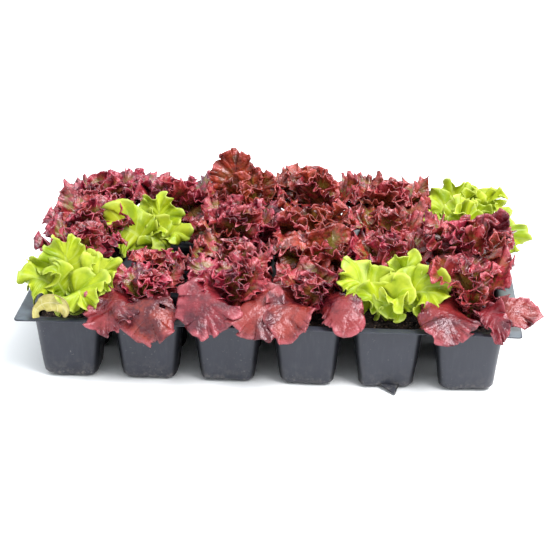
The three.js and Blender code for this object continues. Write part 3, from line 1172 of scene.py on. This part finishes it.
plant(
    3, 6,
    green([(14, 1, 24), (30, 2, 38), (46, 0, 22)], 34, (0.2, -0.8, 0.6)),
    green=True,
    bare=(1, 3, 5, 6, 7),
    heart=2,
)
plant(
    4, 6,
    green([(-8, -2, 24), (-18, -4, 38), (-28, -7, 31)], 34, FRONT),
    green([(-2, 4, 24), (-4, 8, 40), (-4, 12, 50)], 42, VIEWER),
    green([(10, 1, 26), (20, 2, 42), (31, 0, 35)], 34, FRONT),
    green([(0, -6, 22), (0, -14, 34), (0, -23, 24)], 40, FRONT),
    green([(8, -4, 22), (14, -8, 34), (20, -14, 32)], 28, FRONT),
    green=True,
    bare=(1, 2, 3, 4, 5, 6, 7),
    heart=2,
)
plant(
    1, 2,
    smooth(
        [(4, -10, 26), (4, -27, 27), (2, -38, -8)], 38, FRONT,
        tint=1.0, roll=-0.5, fan=1.9, hole=(-8.0, 35.5, 5.0, 1.5),
    ),
    drawn([(-8, -6, 20), (-24, -20, 24), (-31, -38, -2)], 36, (-0.2, -0.6, 0.75), tint=0.45),
    bare=(5, 6, 7),
)
plant(
    1, 3,
    smooth([(-6, -8, 30), (-14, -28, 30), (-15, -38, 0)], 44, FRONT, tint=0.3, roll=-0.4),
    smooth([(10, -8, 26), (24, -26, 26), (24, -38, -2)], 42, FRONT, tint=0.75, roll=-0.3),
    bare=(5, 6, 7),
)
plant(
    1, 4,
    smooth([(-6, -8, 24), (-14, -26, 26), (-15, -38, -2)], 32, FRONT, tint=0.8, roll=0.5),
    smooth([(12, -8, 26), (28, -26, 28), (30, -38, 3)], 30, FRONT, tint=0.5, roll=-1.0),
    bare=(5, 6, 7),
)
plant(
    1, 6,
    smooth([(-8, -8, 24), (-18, -28, 24), (-14, -38, 0)], 40, FRONT, tint=0.5, roll=-0.4),
    smooth([(14, -8, 16), (32, -12, 16), (50, -9, 13)], 24, (0, -0.6, 0.8), tint=0.8, fan=2.1),
    drawn([(8, -8, 22), (18, -26, 24), (21, -38, 2)], 18, FRONT, tint=0.3),
    smooth([(-4, 4, 22), (-10, 8, 40), (-18, 4, 46)], 30, FRONT, tint=0.6, roll=-0.8),
    bare=(0, 5, 6, 7),
)
plant(
    2, 4,
    smooth([(-4, -6, 26), (-10, -14, 38), (-16, -24, 26)], 32, FRONT, tint=0.8, olive=0.6),
    smooth([(8, 2, 26), (18, 4, 42), (28, 4, 44)], 34, VIEWER, tint=0.8, olive=0.9),
    warm=0.7,
)
plant(
    3, 4,
    smooth([(-10, -4, 24), (-22, -6, 38), (-32, -10, 34)], 30, VIEWER, tint=0.8, olive=0.5),
    warm=0.7,
)
plant(2, 6, drawn([(6, 2, 30), (14, 4, 50), (28, 6, 60)], 32, FRONT, tint=0.4))
plant(
    4, 3,
    drawn(
        [(-5, 4, 28), (-10, 6, 50), (-14, 8, 72)], 42, (0.1, -1.0, 0.1),
        tint=0.85, olive=0.22, fan=1.35, roll=0.9,
    ),
    drawn([(4, 4, 28), (8, 6, 44), (16, 6, 56)], 34, VIEWER, tint=0.8, olive=0.7),
    rise=52.0,
    warm=0.8,
)
plant(
    4, 2,
    drawn([(-4, -8, 26), (-12, -22, 34), (-16, -34, 20)], 36, FRONT, tint=0.2, olive=0.4),
    drawn([(6, -8, 26), (16, -22, 36), (20, -36, 24)], 36, FRONT, tint=0.3, olive=0.5),
)
plant(3, 3, drawn([(-10, 0, 24), (-24, -4, 34), (-36, -8, 16)], 34, FRONT, tint=0.3, olive=0.6))
plant(2, 2, bare=(1, 2, 3))
plant(2, 1, bare=(1,))
for place in ((4, 4), (4, 5), (3, 5)):
    PLANTS[place]["warm"] = 0.6
for place in ((2, 1), (3, 1), (4, 1), (4, 2), (1, 2), (1, 3)):
    PLANTS[place]["warm"] = 0.12


for place in PLACES:
    medium_piece(place)
    roots_piece(place)
    plant_piece(place, PLANTS[place])
fallen_leaf_piece()
torn_flap_piece()
stand_for(tray_piece(), "tray", "tray")


# ---- stage, light and camera


def floor():
    mesh = bpy.data.meshes.new("floor")
    size = 6.0
    corners = [(-size, -size, 0), (size, -size, 0), (size, size, 0), (-size, size, 0)]
    mesh.from_pydata(corners, [], [(0, 1, 2, 3)])
    s = Shader("floor")
    mesh.materials.append(s.finish(Base_Color=(0.97, 0.97, 0.97, 1), Roughness=0.9))
    obj = new_object("floor", mesh)
    obj.location.z = -0.0002
    obj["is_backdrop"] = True


def area_light(name, location, size, energy):
    data = bpy.data.lights.new(name, "AREA")
    data.shape = "SQUARE"
    data.size = size
    data.energy = energy
    light = new_object(name, data)
    light.location = location
    direction = np.array(LIGHT_AIM) - np.array(location)
    light.rotation_mode = "QUATERNION"
    light.rotation_quaternion = Vector(direction).to_track_quat("-Z", "Y")


CAMERA_TURN = (22.082, 3.467, 0.629)
CAMERA_AT = (0.0672, -1.1179, 0.5002)
CAMERA_LENS, CAMERA_SENSOR = 105.49, 36.0
LIGHT_AIM = (0, 0, 0.05)


def camera():
    pitch, yaw, roll = (math.radians(angle) for angle in CAMERA_TURN)
    right = np.array([math.cos(yaw), math.sin(yaw), 0])
    level = np.array([-math.sin(yaw), math.cos(yaw), 0])
    up = np.array([0, 0, 1.0])
    forward = level * math.cos(pitch) - up * math.sin(pitch)
    above = level * math.sin(pitch) + up * math.cos(pitch)
    turned_right = right * math.cos(roll) + above * math.sin(roll)
    turned_up = -right * math.sin(roll) + above * math.cos(roll)
    data = bpy.data.cameras.new("camera")
    data.sensor_width, data.lens = CAMERA_SENSOR, CAMERA_LENS
    obj = new_object("camera", data)
    matrix = Matrix.Identity(4)
    for i in range(3):
        matrix[i][0], matrix[i][1], matrix[i][2] = turned_right[i], turned_up[i], -forward[i]
    matrix[0][3], matrix[1][3], matrix[2][3] = CAMERA_AT
    obj.matrix_world = matrix
    bpy.context.scene.camera = obj


def light():
    world = bpy.data.worlds.new("studio")
    world.use_nodes = True
    tree = world.node_tree
    background = tree.nodes["Background"]
    background.inputs["Color"].default_value = (0.91, 0.96, 1.0, 1)
    split = tree.nodes.new("ShaderNodeSeparateXYZ")
    tree.links.new(tree.nodes.new("ShaderNodeTexCoord").outputs["Generated"], split.inputs[0])
    rise = tree.nodes.new("ShaderNodeMapRange")
    tree.links.new(split.outputs["Z"], rise.inputs["Value"])
    for key, value in (("From Min", 0.02), ("From Max", 0.55), ("To Min", 0.45), ("To Max", 1.55)):
        rise.inputs[key].default_value = value
    tree.links.new(rise.outputs[0], background.inputs["Strength"])
    bpy.context.scene.world = world
    area_light("key", (0.8, -0.7, 1.5), 0.8, 40)
    area_light("back", (0.5, 1.1, 1.1), 1.0, 18)
    bpy.context.scene.view_settings.view_transform = "Standard"
    bpy.context.scene.view_settings.exposure = 0.0


floor()
light()
camera()

low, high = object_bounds()
